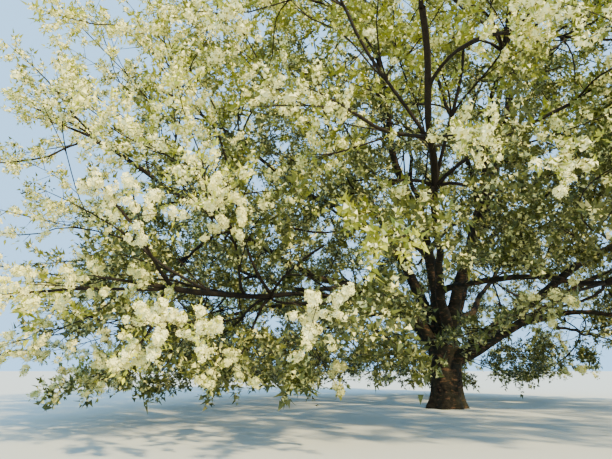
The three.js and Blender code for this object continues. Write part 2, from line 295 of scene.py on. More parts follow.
class Cluster:
    """What the clusters of all kinds share."""

    stray = 0.03  # of each from its place on the shoot
    vary = 0.25  # share by which the blossom's size varies
    # the edges of a flower's five petals, and the corners of a loose one, round its heart
    petal_edges = [math.radians(72 * k + half) for k in range(5) for half in (-27, 27)]
    loose_corners = [math.radians(120 * k) for k in range(3)]
    petal_uneven = (0.85, 1.15)  # times a petal's radius
    cup = 0.35  # how far a petal's edge stands out of the flower's plane at most
    leaf_forward, leaf_scatter, leaf_rise = 0.5, 0.8, 0.1  # along the shoot, at random and upwards
    leaf_roll = 0.5
    leaf_uneven = (0.6, 1.2)  # times a leaf's length
    leaf_belly = 0.42  # how far along a folded leaf is widest
    leaf_fold = 0.35  # how far its edges stand up, as a share of half its width


class Dealing:
    """How kinds and tints are dealt out, the tints as painted shade. Depths are shares of the crown's radius.
    """

    deep = 0.225  # clusters deeper than this are inner ones
    looked_into = 3.0  # clusters lower than this have whole flowers
    low_from = 6.0  # from this height down things count as low, more and more
    leafy = 0.5  # the share of sprays with more leaf than blossom, low down and well inside
    leafy_depth = (0.07, 0.26)
    # the tints darken deeper inside the crown as painted shade
    painted_shade_inside = 2.7  # how fast the tints get duller towards the inside
    # painted shade low down: how much faster the tints darken there, and how much more they differ
    petal_painted_shade = (1.2, 0.3)
    leaf_painted_shade = (5.0, 1.6)
    steps = (1.0, 1.5, 2.0)  # from one tint to the next


MOST_TRIANGLES = 195000  # in one piece
LOWEST_FOLIAGE = 0.02  # blossom and leaves stay this far above the ground
STEEP = 0.9  # a way steeper than this is framed from the side

# The darkest and lightest colour of each tint, from the crown's edge to its inside; later tints are painted
# shade.
PETALS_LIT_TO_SHADED = [
    ((0.93, 0.86, 0.37), (0.98, 0.92, 0.47)),
    ((0.86, 0.79, 0.29), (0.93, 0.86, 0.38)),
    ((0.64, 0.60, 0.20), (0.75, 0.71, 0.27)),
    ((0.38, 0.36, 0.11), (0.49, 0.46, 0.16)),
]
LEAVES_LIT_TO_SHADED = [
    ((0.40, 0.40, 0.03), (0.54, 0.54, 0.05)),
    ((0.26, 0.27, 0.02), (0.37, 0.38, 0.03)),
    ((0.135, 0.145, 0.015), (0.21, 0.22, 0.025)),
    ((0.058, 0.065, 0.007), (0.11, 0.12, 0.012)),
]
# The bark's own dark brown and grey-green growth, darkened further towards near-black as painted shade; the
# flakes keep their own colour.
SHADED_TWIG = ((0.010, 0.007, 0.005), (0.028, 0.020, 0.013))
SHADED_TRUNK_BARK = ((0.005, 0.004, 0.003), (0.022, 0.016, 0.011))
SHADED_GROWTH = (0.032, 0.030, 0.017)
FLAKE = (0.105, 0.055, 0.030)


class Stage:
    """A pale floor, soft skylight and a sun from the right front."""

    floor_half = 300.0
    floor_drop = 0.002  # below the tree's foot
    floor_colour, floor_roughness = (0.56, 0.56, 0.52), 0.9
    sky_colour, sky_strength = (0.36, 0.66, 1.0), 2.1
    sun_colour, sun_strength = (1.0, 0.855, 0.48), 10.2
    sun_width = math.radians(3)
    sun_tilt, sun_turn = math.radians(52), math.radians(38)


class View:
    """The photograph's place and lens, worked out from its horizon and the trunk's size in it."""

    back = 14.0  # from the trunk to the camera
    left = 3.76
    eye = 0.99
    pitch = math.radians(15.8)
    lens, sensor = 29.1, 36  # in millimetres


# The part's rule


def seeded(seed):
    """Whole-number draws: a seed gives the same tree here as in the part."""
    state = seed

    def draw():
        nonlocal state
        state = (state * 48271) % 2147483647
        return state / 2147483647

    return draw


def unit(v):
    return v / np.linalg.norm(v, axis=-1, keepdims=True)


def flat(azimuth):
    return np.array([math.cos(azimuth), math.sin(azimuth), 0.0])


def heading(azimuth, climb):
    return flat(azimuth) * math.cos(climb) + UP * math.sin(climb)


def azimuth_of(p):
    return math.atan2(p[1], p[0])


def smoothstep(x, low, high):
    t = np.clip((x - low) / (high - low), 0, 1)
    return t * t * (3 - 2 * t)


def pull(azimuth):
    return 1 + Crown.reach * math.cos(azimuth - Crown.long_side)


def crown_edge(azimuth, height):
    """How far out the crown reaches at an azimuth and a height."""
    up = min(max(height / Crown.height, 0), 1)
    above = max(0, (up - Crown.widest) / (1 - Crown.widest))
    below = max(0, (Crown.widest - up) / Crown.widest)
    rounded = math.sqrt(1 - above**Crown.roundness) * (1 - Crown.undercut * below * below)
    lobed = sum(out * math.sin(n * azimuth + start + lean * up) for n, out, start, lean in Crown.lobes)
    return Crown.radius * rounded * (pull(azimuth) + lobed)


def depth_of(p):
    """How far inside the crown's edge or below its top a point is, as a share of the crown's radius."""
    from_edge = crown_edge(azimuth_of(p), p[2]) - math.hypot(p[0], p[1])
    return min(from_edge, Crown.height - p[2]) / Crown.radius


def hem(azimuth, finer):
    """How low the foliage hangs; the finer growth leaves more of the open side free, as photographed."""
    opening = (1 + math.cos(azimuth - Crown.open_side)) / 2
    part_hem = Crown.skirt + Crown.skirt_lift * opening**Crown.openness
    if not finer:
        return part_hem
    away = math.acos(math.cos(azimuth - Crown.free_side))
    free = 1 - smoothstep(away, *Crown.free_fade)
    return max(part_hem, Crown.skirt + Crown.free_lift * free)


def in_crown(p, inset, finer=False):
    azimuth = azimuth_of(p)
    out = math.hypot(p[0], p[1])
    low = (p[2] - Hollow.middle) / Hollow.half
    bare = (out / Hollow.radius) ** 2 + low * low < 1
    above_hem = p[2] > hem(azimuth, finer) + inset * Crown.below
    below_top = p[2] < Crown.height - inset * Crown.above
    inside = out + inset < crown_edge(azimuth, p[2] + inset * Crown.shoulder)
    return not bare and above_hem and below_top and inside


def trunk_axis(height):
    return np.array([Trunk.lean * height, 0.0, height])


def trunk_radius(height):
    flare = (Trunk.foot - Trunk.waist) * np.exp(-height / Trunk.foot_fade)
    rise = smoothstep(height, Trunk.waist_height, Trunk.fork)
    dome = smoothstep(height, Trunk.dome_from, Trunk.fork)
    return (Trunk.waist + flare + rise * (Trunk.crotch - Trunk.waist)) * (1 - dome * (1 - Trunk.dome))


def bezier(points, t):
    """Points of a Bezier curve with three or four control points, at one share or many."""
    t = np.asarray(t, float)[..., None]
    if len(points) == 3:
        a, b, c = points
        return (1 - t) ** 2 * a + 2 * t * (1 - t) * b + t**2 * c
    a, b, c, d = points
    return (1 - t) ** 3 * a + 3 * t * (1 - t) ** 2 * b + 3 * t**2 * (1 - t) * c + t**3 * d


def bezier_way(points, t):
    """Unit directions along a Bezier curve."""
    steps = np.diff(np.array(points), axis=0)
    t = np.asarray(t, float)[..., None]
    if len(steps) == 2:
        return unit((1 - t) * steps[0] + t * steps[1])
    return unit((1 - t) ** 2 * steps[0] + 2 * t * (1 - t) * steps[1] + t**2 * steps[2])


class Bough:
    """One tapering limb with the middle of the foliage at its tip."""

    def __init__(self, t, i, azimuth, centre, bearers):
        self.tier, self.azimuth, self.centre = t["tier"], azimuth, centre
        self.butt, self.tip_radius, self.steps = t["butt"], t["tip"], t["steps"]
        if t["bearer"] == "trunk":
            foot = trunk_axis(t["leave"] + TRUNK_STAGGER * (i % 2))
            start = heading(azimuth, math.radians(t["climb"] - t["swing"] * math.cos(azimuth)))
        else:
            bearer = min(bearers, key=lambda b: 1 - math.cos(b.azimuth - azimuth))
            foot = bezier(bearer.curve, t["leave"])
            start = unit(unit(centre - foot) + bezier_way(bearer.curve, t["leave"]))
        self.tip = centre + (foot - centre) * t["inward"]
        length = np.linalg.norm(self.tip - foot)
        self.finish = heading(azimuth, math.radians(t["finish"]))
        handles = foot + start * length * LIMB["start"], self.tip - self.finish * length * LIMB["finish"]
        self.curve = [foot, *handles, self.tip]

    def radius(self, share):
        swell = 1 + LIMB["collar"] * np.exp(-share * LIMB["collar_fade"])
        return (self.tip_radius + (self.butt - self.tip_radius) * (1 - share) ** LIMB["power"]) * swell


def lay_out():
    """All boughs, tier by tier."""
    draw = seeded(SEED)

    def stray(size):
        return size * (2 * draw() - 1)

    boughs = []
    for t in TIERS:
        bearers = [b for b in boughs if b.tier == t["bearer"]]
        for i in range(t["count"]):
            azimuth = math.radians(t["turn"] + 360 * i / t["count"] + stray(UNEVEN["azimuth"]))
            out = t["centre"] * pull(azimuth) * (1 + stray(UNEVEN["centre"]))
            height = t["height"] * (1 + stray(UNEVEN["height"]))
            boughs.append(Bough(t, i, azimuth, flat(azimuth) * out + UP * height, bearers))
    return boughs


class Stretches:
    """The trunk and every bough as straight stretches with the radius of each."""

    def __init__(self, boughs):
        starts, ends, radii = [trunk_axis(0)], [trunk_axis(Trunk.fork)], [Trunk.foot]
        for b in boughs:
            shares = np.arange(b.steps + 1) / b.steps
            points = bezier(b.curve, shares)
            starts.extend(points[:-1])
            ends.extend(points[1:])
            radii.extend(b.radius(shares[:-1]))
        self.starts, self.radii = np.array(starts), np.array(radii)
        self.along = np.array(ends) - self.starts

    def clear(self, a, b, reach):
        """Whether the segment ab stays clear of all wood, by reach."""
        u, v, w = b - a, self.along, a - self.starts
        uu, uv, vv = u @ u, v @ u, (v * v).sum(1)
        uw, vw = w @ u, (v * w).sum(1)
        flatness = np.maximum(uu * vv - uv * uv, 1e-12)
        s = np.clip((uv * vw - vv * uw) / flatness, 0, 1)
        t = np.clip((uv * s + vw) / vv, 0, 1)
        s = np.clip((uv * t - uw) / uu, 0, 1)
        gap = np.linalg.norm(a + u * s[:, None] - self.starts - v * t[:, None], axis=1)
        return bool((gap > self.radii + reach + Twigs.clearance).all())


class Mass:
    """One mass of foliage: the part's stem, twigs and sprays, and then the finer ones."""

    def __init__(self, bough, boughs, stretches, seed):
        self.bough, self.stretches = bough, stretches
        others = np.array([b.centre for b in boughs if b is not bough])
        self.middles = (others + bough.centre) / 2
        self.across = unit(bough.centre - others)
        self.draw = seeded(seed)
        self.nodes, self.twigs, self.sprays, self.taken = [], [], [], []
        self.finer = False
        self.grow_stem()
        self.grow_twigs(Twigs.count)
        self.finer = True
        self.grow_twigs(Twigs.finer[bough.tier])

    def owns(self, p, edge):
        """Whether a point is nearer to this mass than to any other, by edge."""
        return bool((((p - self.middles) * self.across).sum(1) > edge).all())

    def grow_stem(self):
        b = self.bough
        self.foot = b.tip
        far = b.tip + (b.centre - b.tip) * (1 + Stem.past)
        for _ in range(Twigs.tries):
            if self.owns(far, Twigs.edge) and in_crown(far, Stem.inset):
                break
            far = far + (b.centre - far) * Stem.back
        bend = self.foot + b.finish * np.linalg.norm(far - self.foot) * Stem.bend
        self.stem = [self.foot, bend, far]
        shares = np.arange(Stem.steps + 1) / Stem.steps
        points, ways = bezier(self.stem, shares), bezier_way(self.stem, shares)
        radii = b.tip_radius * Stem.start + (Stem.tip - b.tip_radius * Stem.start) * shares
        path = np.cumsum(np.linalg.norm(np.diff(points, axis=0), axis=1))
        for i in range(1, Stem.steps + 1):
            self.nodes.append(dict(p=points[i], way=ways[i], radius=radii[i], path=path[i - 1],
                                   at=points[i], along=ways[i]))
        self.taken = [n["p"] for n in self.nodes]
        goes_on = self.set_spray(far, ways[-1], far, ways[-1], Stem.tip)
        self.stem_end = 1 if goes_on else Bark.bare_end

    def next_place(self):
        """The most open of several places for a twig's end."""
        best, best_room, found, tries = None, -1, 0, 0
        inset = Twigs.finer_inset if self.finer else Twigs.inset
        edge = Twigs.finer_edge if self.finer else Twigs.place_edge
        taken = np.array(self.taken)
        while found < Twigs.candidates and tries < Twigs.tries:
            tries += 1
            p = np.array([half * (2 * self.draw() - 1) for half in Twigs.spread]) + self.bough.centre
            if not in_crown(p, inset, self.finer) or not self.owns(p, edge):
                continue
            if self.finer and self.draw() < Twigs.outward * depth_of(p):
                continue
            found += 1
            room = np.linalg.norm(taken - p, axis=1).min()
            if room > best_room:
                best, best_room = p, room
        return best

    def grow_twigs(self, count):
        places = []
        for _ in range(count):
            place = self.next_place()
            if place is None:
                break
            self.taken.append(place)
            places.append(place)
        places.sort(key=lambda p: np.linalg.norm(p - self.foot))
        for i, place in enumerate(places):
            self.grow_twig(place, i)

    def bearer_of(self, place):
        """The cheapest wood to grow a twig from, with the twig's way and length."""
        ranked = []
        for node in self.nodes:
            way = place - node["p"]
            length = np.linalg.norm(way)
            way = way / length
            turn = 1 - way @ node["way"]
            cost = length * (1 + Twigs.turn * turn) + Twigs.balance * node["path"]
            ranked.append((cost, len(ranked), node, way, length))
        ranked.sort(key=lambda r: r[:2])
        clear = (r[2:] for r in ranked if self.stretches.clear(r[2]["p"], place, Stem.tip))
        return next(clear, None)

    def grow_twig(self, place, i):
        found = self.bearer_of(place)
        if found is None:
            return
        node, way, length = found
        butt = max(node["radius"] * Twigs.share, Twigs.thinnest)
        tip = max(butt * Twigs.taper, Twigs.thinnest)
        curve = self.bowed(node, place, way)
        goes_on = self.set_spray(place, way, place, bezier_way(curve, 1), tip)
        self.twigs.append(dict(curve=curve, butt=butt, tip=tip, end=1 if goes_on else Bark.bare_end))
        for share in (Spray.side_at, 1):
            p = node["p"] + (place - node["p"]) * share
            radius = butt + (tip - butt) * share
            self.nodes.append(dict(p=p, way=way, radius=radius, path=node["path"] + share * length,
                                   at=bezier(curve, share), along=bezier_way(curve, share)))
        side = unit(np.cross(way, UP)) * (Spray.splay if i % 2 else -Spray.splay)
        root = node["p"] + (place - node["p"]) * Spray.side_at
        self.set_spray(root, unit(way + side), bezier(curve, Spray.side_at),
                       bezier_way(curve, Spray.side_at), tip * Spray.side_radius)

    def bowed(self, node, place, way):
        """The curve of a twig: it leaves along the wood that bears it and bows on its way to its place."""
        start = node["at"]
        length = np.linalg.norm(place - start)
        leave = unit(node["along"] * Bow.follow + way)
        bows = rng.normal(0, Bow.size * length, (2, 3))
        return [start, start + leave * length * Bow.handle + bows[0] * Bow.near_foot,
                place - way * length * Bow.handle + bows[1], place]

    def set_spray(self, place, twig_way, at, along, radius):
        """Keeps the longest spray that fits at place, on the twig's real curve, and tells if one did."""
        way = unit(twig_way + flat(azimuth_of(place)) * Spray.outward)
        full = Spray.length * (1 + Spray.vary * (2 * self.draw() - 1))
        if self.finer:
            full *= Spray.finer_length / Spray.length
        for share in Spray.shorter:
            length = full * share
            half = Spray.width * length / 2
            middle, end = place + way * Spray.widest * length, place + way * length
            fits = (
                self.owns(middle, half * (0 if self.finer else 1) + Twigs.edge / 2)
                and self.owns(end, Twigs.edge / 2)
                and in_crown(middle, half, self.finer)
                and in_crown(end, 0, self.finer)
                and (end > solid_box[0]).all()
                and (end < solid_box[1]).all()
                and self.stretches.clear(place, end, half * (Spray.finer_clearance if self.finer else 1))
            )
            if fits:
                breadth = Spray.width / 2 * (Spray.finer_breadth if self.finer else 1)
                self.sprays.append(dict(at=at, way=way, length=length, breadth=breadth, along=along,
                                        radius=radius))
                return True
        return False


# Meshes


def add_object(name, data):
    added = bpy.data.objects.new(name, data)
    bpy.context.scene.collection.objects.link(added)
    return added


def build_piece(name, points, faces, replaced, materials, tint=None, smooth=False):
    """A mesh piece from arrays of points and of faces that all have the same number of corners."""
    count, corners = faces.shape
    mesh = bpy.data.meshes.new(name)
    mesh.vertices.add(len(points))
    mesh.vertices.foreach_set("co", np.ascontiguousarray(points, np.float32).ravel())
    mesh.loops.add(count * corners)
    mesh.loops.foreach_set("vertex_index", faces.astype(np.int32).ravel())
    mesh.polygons.add(count)
    mesh.polygons.foreach_set("loop_start", np.arange(count, dtype=np.int32) * corners)
    if tint is not None:
        mesh.polygons.foreach_set("material_index", tint.astype(np.int32))
    mesh.update(calc_edges=True)
    mesh.polygons.foreach_set("use_smooth", np.full(count, smooth))
    for material in materials:
        mesh.materials.append(material)
    piece = add_object(name, mesh)
    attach(piece, "root")
    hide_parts(*replaced)


def build_foliage_pieces(name, points, triangles, materials, tint):
    """Many like clusters, each with its own points and tint, joined into pieces of a limited size."""
    clusters, points_each = points.shape[:2]
    pieces = math.ceil(clusters / (MOST_TRIANGLES // len(triangles)))
    for k, chosen in enumerate(np.array_split(np.arange(clusters), pieces)):
        part = points[chosen].reshape(-1, 3)
        part[:, 2] = np.maximum(part[:, 2], LOWEST_FOLIAGE)
        starts = np.arange(len(chosen)) * points_each
        joined = (triangles[None] + starts[:, None, None]).reshape(-1, 3)
        tints = np.repeat(tint[chosen], len(triangles))
        build_piece(f"{name}_{k + 1}", part, joined, FOLIAGE_NODES, materials, tints)


def frames(ways):
    """Two unit vectors across each direction."""
    steep = np.abs(ways[..., 2:3]) > STEEP
    first = unit(np.cross(ways, np.where(steep, np.array([1.0, 0, 0]), UP)))
    return first, np.cross(ways, first)


def tubes(paths, radii, sides, relief=None):
    """Points and four-cornered faces of tubes along paths, all with equally many points."""
    count, rings = paths.shape[:2]
    ways = unit(np.gradient(paths, axis=1))
    middle = np.repeat(ways[:, rings // 2 : rings // 2 + 1], rings, axis=1)
    first, _ = frames(middle)
    first = unit(first - ways * (first * ways).sum(-1, keepdims=True))
    second = np.cross(ways, first)
    angles = np.arange(sides) * 2 * math.pi / sides
    reach = np.repeat(radii[..., None], sides, axis=2)
    if relief is not None:
        reach = reach * relief
    ring = first[:, :, None] * np.cos(angles)[:, None] + second[:, :, None] * np.sin(angles)[:, None]
    points = paths[:, :, None] + ring * reach[..., None]
    ring_starts = (np.arange(rings - 1) * sides)[:, None]
    a = ring_starts + np.arange(sides)
    b = ring_starts + (np.arange(sides) + 1) % sides
    quads = np.stack([a, b, b + sides, a + sides], axis=-1).reshape(-1, 4)
    return points.reshape(count, -1, 3), quads


def join(parts):
    """One array of points and one of faces from several (points, faces) of tubes."""
    points, faces, start = [], [], 0
    for pts, quads in parts:
        starts = start + np.arange(len(pts)) * pts.shape[1]
        points.append(pts.reshape(-1, 3))
        faces.append((quads[None] + starts[:, None, None]).reshape(-1, 4))
        start += pts.shape[0] * pts.shape[1]
    return np.concatenate(points), np.concatenate(faces)


# Wood


def bark_relief(rings, sides, length, radius, depth):
    """Long swaying cracks and a fine grain, as a factor on each ring's radius."""
    along = np.linspace(0, length, rings)[:, None]
    angle = (np.arange(sides) * 2 * math.pi / sides)[None]
    total = np.zeros((rings, sides))
    fewest = Bark.cracks[0][0]
    for count, wave in Bark.cracks:
        phase, drift = rng.uniform(0, 2 * math.pi, 2)
        ripple = Bark.ripple * np.sin(along / (wave * Bark.ripple_length) + 2 * drift)
        sway = Bark.sway * np.sin(along / wave + drift) + ripple
        total -= np.abs(np.sin(count / 2 * angle + phase + sway)) ** Bark.narrow / math.sqrt(count / fewest)
    grain = rng.normal(0, Bark.grain, (rings, sides))
    return 1 + (total + grain) * depth / radius


def build_trunk(bark):
    heights = np.linspace(0, Trunk.fork, Trunk.rings)
    path = np.array([trunk_axis(h) for h in heights])[None]
    radius = trunk_radius(heights)
    relief = bark_relief(Trunk.rings, Trunk.sides, Trunk.fork, radius[:, None], Bark.trunk_depth)
    angle = np.arange(Trunk.sides) * 2 * math.pi / Trunk.sides
    fade = np.exp(-heights / (2 * Trunk.foot_fade))[:, None]
    flutes = 1 + Trunk.flute_depth * fade * np.cos(Trunk.flutes * angle)[None]
    points, quads = tubes(path, radius[None], Trunk.sides, (relief * flutes)[None])
    points[..., 2] = np.maximum(points[..., 2], 0)
    points[0, : Trunk.sides, 2] = 0
    points = np.concatenate([points[0], [path[0, -1] + UP * Trunk.cap, path[0, 0]]])
    top, low = len(points) - 2, len(points) - 1
    foot = np.arange(Trunk.sides)
    rim = (Trunk.rings - 1) * Trunk.sides + foot
    lid = np.stack([rim, np.roll(rim, -1), np.full_like(rim, top)], 1)
    base = np.stack([np.roll(foot, -1), foot, np.full_like(foot, low)], 1)
    triangles = np.concatenate([quads[:, [0, 1, 2]], quads[:, [0, 2, 3]], lid, base])
    build_piece("trunk_bark", points, triangles, ["trunk"], [bark], smooth=True)


def build_boughs(boughs, bark):
    rings, sides = Bark.bough_rings, Bark.bough_sides
    shares = np.linspace(0, 1, rings)
    parts = []
    for b in boughs:
        path = bezier(b.curve, shares)
        length = np.linalg.norm(np.diff(path, axis=0), axis=1).sum()
        for waves in Bark.bough_waves:
            sway = rng.normal(0, Bark.waver * length / waves, 3)
            path = path + sway * np.sin(math.pi * waves * shares)[:, None]
        radius = b.radius(shares)
        relief = bark_relief(rings, sides, length, radius[:, None], Bark.bough_depth)
        parts.append(tubes(path[None], radius[None], sides, relief[None]))
    points, quads = join(parts)
    build_piece("bough_bark", points, quads, BOUGH_NODES, [bark], smooth=True)


def bark_radius(radius):
    """How thick a twig of the part's rule stands with its bark."""
    return radius * Bark.fuller + Bark.stouter


def stem_tubes(masses):
    shares = np.linspace(0, 1, Stem.rings)
    waver = np.sin(Stem.steps * math.pi * shares)[:, None]
    paths = np.array([bezier(m.stem, shares) + rng.normal(0, Stem.waver, 3) * waver for m in masses])
    tip = bark_radius(Stem.tip)
    radii = np.array([np.linspace(m.bough.tip_radius, tip, Stem.rings) for m in masses])
    radii[:, -1] *= [m.stem_end for m in masses]
    return tubes(paths, radii, Stem.sides)


def twig_tubes(twigs, rings, sides):
    """The twigs' tapering bark, with a collar where each leaves the wood that bears it."""
    shares = np.linspace(0, 1, rings)
    paths = np.array([bezier(t["curve"], shares) for t in twigs])
    radii = bark_radius(np.linspace([t["butt"] for t in twigs], [t["tip"] for t in twigs], rings, axis=1))
    radii[:, -1] *= [t["end"] for t in twigs]
    return tubes(paths, radii * (1 + Bark.collar * np.exp(-shares * Bark.collar_fade)), sides)


def grow_main_shoots(sprays):
    """The curves of all sprays' main shoots, and their bark."""
    at, way, length = sprays["at"], sprays["way"], sprays["length"][:, None]
    first, second = frames(way)
    bend = rng.normal(0, Shoots.bend, (len(at), 2)) * length
    handles = at + unit(sprays["along"] + way) * length * Shoots.handle
    tips = at + way * length + first * bend[:, :1] + second * bend[:, 1:]
    curves = [points[:, None] for points in (at, handles, tips)]
    shares = np.linspace(0, 1, Shoots.rings)
    thickness = (bark_radius(sprays["radius"]) - Shoots.tip_radius)[:, None]
    radii = Shoots.tip_radius + thickness * (1 - shares) ** Shoots.thinning
    return curves, tubes(bezier(curves, shares), radii, Shoots.sides)


def grow_side_shoots(sprays, curves):
    """The feet, ways and ends of side shoots in a spiral round each main shoot, and their bark."""
    way, length = sprays["way"], sprays["length"][:, None]
    first, second = frames(way)
    k = np.arange(Shoots.count)
    leave = Shoots.first + (Shoots.last - Shoots.first) * (k + 0.5) / Shoots.count
    stray = rng.uniform(-Shoots.stray, Shoots.stray, (len(way), Shoots.count))
    leave = np.clip(leave + stray, *Shoots.within)
    swell = np.where(leave < Spray.widest, leave / Spray.widest, (1 - leave) / (1 - Spray.widest))
    half = np.maximum(sprays["breadth"][:, None] * swell, Shoots.least) * length
    half *= rng.uniform(*Shoots.uneven, half.shape)
    around = k * Shoots.turn + rng.uniform(0, 2 * math.pi, (len(way), 1))
    out = first[:, None] * np.cos(around)[..., None] + second[:, None] * np.sin(around)[..., None]
    ways = unit(out * math.sin(Shoots.splay) + way[:, None] * math.cos(Shoots.splay)).reshape(-1, 3)
    feet = bezier(curves, leave).reshape(-1, 3)
    ends = feet + ways * (half / math.sin(Shoots.splay)).reshape(-1, 1)
    ends[:, 2] = np.maximum(ends[:, 2], Shoots.lowest)
    radii = np.repeat(np.array([Shoots.side_taper]), len(ends), 0)
    return feet, ways, ends, tubes(np.stack([feet, ends], 1), radii, Shoots.sides)


def place_clusters(sprays, curves, feet, ways, ends):
    """The place of every cluster, the way of its shoot and the number of its spray."""
    number = np.arange(len(sprays["at"]))
    on_side = [feet + (ends - feet) * share for share in Shoots.on_side]
    on_main = bezier(curves, np.array(Shoots.on_main)).reshape(-1, 3)
    mains = len(Shoots.on_main)
    centres = np.concatenate([*on_side, on_main])
    outward = np.concatenate([ways] * len(on_side) + [np.repeat(sprays["way"], mains, 0)])
    spray_of = np.concatenate([np.repeat(number, Shoots.count)] * len(on_side) + [np.repeat(number, mains)])
    return centres, outward, spray_of


# Blossom and leaves


def lowness(height):
    return np.clip(1 - height / Dealing.low_from, 0, 1)


def even_directions(count):
    """Directions spread evenly over a ball."""
    k = np.arange(count) + 0.5
    z = 1 - 2 * k / count
    turn = k * math.pi * (3 - math.sqrt(5))
    ring = np.sqrt(1 - z * z)
    return np.stack([ring * np.cos(turn), ring * np.sin(turn), z], 1)


def random_turns(count):
    """Random rotations as matrices."""
    q = unit(rng.normal(size=(count, 4)))
    w, x, y, z = q.T
    return np.stack([
        np.stack([1 - 2 * (y * y + z * z), 2 * (x * y - z * w), 2 * (x * z + y * w)], 1),
        np.stack([2 * (x * y + z * w), 1 - 2 * (x * x + z * z), 2 * (y * z - x * w)], 1),
        np.stack([2 * (x * z - y * w), 2 * (y * z + x * w), 1 - 2 * (x * x + y * y)], 1),
    ], 1)


def strung(centres, outward, kind, count):
    """Places along the shoot through each cluster."""
    return centres[:, None] + outward[:, None] * rng.uniform(-1, 1, (len(centres), count, 1)) * kind.spread


def blossom(centres, outward, kind):
    """The flowers of each cluster with five petals each, or its loose petals as one triangle each."""
    n = len(centres)
    face = np.einsum("nij,kj->nki", random_turns(n), even_directions(kind.petals))
    first = unit(np.cross(face, rng.normal(size=face.shape)))
    second = np.cross(face, first)
    size = (1 + Cluster.vary * rng.uniform(-1, 1, n))[:, None, None]
    heart = strung(centres, outward, kind, kind.petals) + face * size * kind.offset
    reach = size * kind.petal * rng.uniform(*Cluster.petal_uneven, (n, kind.petals, 1))
    rim = []
    for turn in Cluster.loose_corners if kind.fine else Cluster.petal_edges:
        lift = rng.uniform(-Cluster.cup, Cluster.cup, (n, kind.petals, 1))
        rim.append(heart + (first * math.cos(turn) + second * math.sin(turn) + face * lift) * reach)
    if kind.fine:
        return np.stack(rim, 2).reshape(n, -1, 3), np.arange(3 * kind.petals).reshape(-1, 3)
    points = np.stack([heart, *rim], 2).reshape(n, -1, 3)
    petals = np.array([[0, k, k + 1] for k in range(1, len(rim), 2)])
    start = np.arange(kind.petals)[:, None, None] * (1 + len(rim))
    return points, (petals[None] + start).reshape(-1, 3)


def leaves(centres, outward, kind):
    """Pointed young leaves round each cluster, folded along the midrib or flat."""
    n, k = len(centres), kind.leaves
    scatter = rng.normal(size=(n, k, 3)) * Cluster.leaf_scatter
    way = unit(outward[:, None] * Cluster.leaf_forward + scatter + UP * Cluster.leaf_rise)
    up = unit(UP + rng.normal(0, Cluster.leaf_roll, (n, k, 3)))
    across = unit(np.cross(way, up))
    over = np.cross(across, way)
    length = kind.leaf_length * rng.uniform(*Cluster.leaf_uneven, (n, k, 1))
    length = length * (1 + kind.low_growth * lowness(centres[:, 2]))[:, None, None]
    half = length * kind.leaf_width / 2
    foot = strung(centres, outward, kind, k) + way * kind.offset
    tip = foot + way * length
    if kind.fine:
        points = np.stack([foot + across * half, tip, foot - across * half], 2).reshape(n, -1, 3)
        return points, np.arange(3 * k).reshape(-1, 3)
    belly = foot + way * length * Cluster.leaf_belly
    fold = over * Cluster.leaf_fold
    left, right = belly + (across + fold) * half, belly - (across - fold) * half
    points = np.stack([foot, left, tip, right], 2).reshape(n, -1, 3)
    start = np.arange(k)[:, None] * 4
    return points, np.concatenate([start + corners for corners in ([0, 2, 1], [0, 3, 2])])


def deal_tints(depth, height, shaded, patchy_shade):
    """A tint for each spray as painted shade: bright ones near the crown's edge, darker ones deep inside it
    and low down.
    """
    low = lowness(height)
    chance = rng.uniform(0, 1, len(depth)) * (1 + patchy_shade * low)
    return np.digitize(depth * (Dealing.painted_shade_inside + shaded * low) + chance, Dealing.steps)


def build_foliage(sprays, centres, outward, spray_of, petals, greens):
    """Blossom and leaves in every cluster, by its kind and its spray's tints of painted shade."""
    height = sprays["at"][:, 2]
    centres = centres + rng.normal(0, Cluster.stray, centres.shape)
    depth = np.array([depth_of(p) for p in sprays["at"]])
    # each spray's tints are painted shade: darker deep inside the crown and low down
    bloom_tint = deal_tints(depth, height, *Dealing.petal_painted_shade)[spray_of]
    leaf_tint = deal_tints(depth, height, *Dealing.leaf_painted_shade)[spray_of]
    leafy_chance = Dealing.leafy * lowness(height) * smoothstep(depth, *Dealing.leafy_depth)
    leafy = rng.uniform(0, 1, len(height)) < leafy_chance
    deep = (np.array([depth_of(p) for p in centres]) > Dealing.deep) | leafy[spray_of]
    high = centres[:, 2] > Dealing.looked_into
    for kind, chosen in ((Low, ~deep & ~high), (High, ~deep & high), (Inner, deep)):
        where = kind.__name__.lower()
        in_bloom = chosen & (rng.uniform(0, 1, len(centres)) < kind.in_bloom)
        points, triangles = blossom(centres[in_bloom], outward[in_bloom], kind)
        build_foliage_pieces(f"{where}_blossom", points, triangles, petals, bloom_tint[in_bloom])
        points, triangles = leaves(centres[chosen], outward[chosen], kind)
        build_foliage_pieces(f"{where}_leaves", points, triangles, greens, leaf_tint[chosen])


# Materials


def new_material(name, roughness, shine=0.5):
    material = bpy.data.materials.new(name)
    material.use_nodes = True
    tree = material.node_tree
    shader = tree.nodes["Principled BSDF"]
    shader.inputs["Roughness"].default_value = roughness
    shader.inputs["Specular IOR Level"].default_value = shine
    coordinates = tree.nodes.new("ShaderNodeTexCoord").outputs["Object"]
    return material, tree.nodes, tree.links, shader, coordinates


def noise_colour(nodes, links, low, high, coordinates, scale, detail, edges=(0.35, 0.65)):
    """A colour that wanders between low and high by a noise over the object, and that noise."""
    noise = nodes.new("ShaderNodeTexNoise")
    noise.inputs["Scale"].default_value = scale
    noise.inputs["Detail"].default_value = detail
    links.new(coordinates, noise.inputs["Vector"])
    ramp = nodes.new("ShaderNodeValToRGB")
    for end, edge, colour in zip(ramp.color_ramp.elements, edges, (low, high)):
        end.position = edge
        end.color = (*colour, 1)
    links.new(noise.outputs["Fac"], ramp.inputs["Fac"])
    return ramp.outputs["Color"], noise.outputs["Fac"]


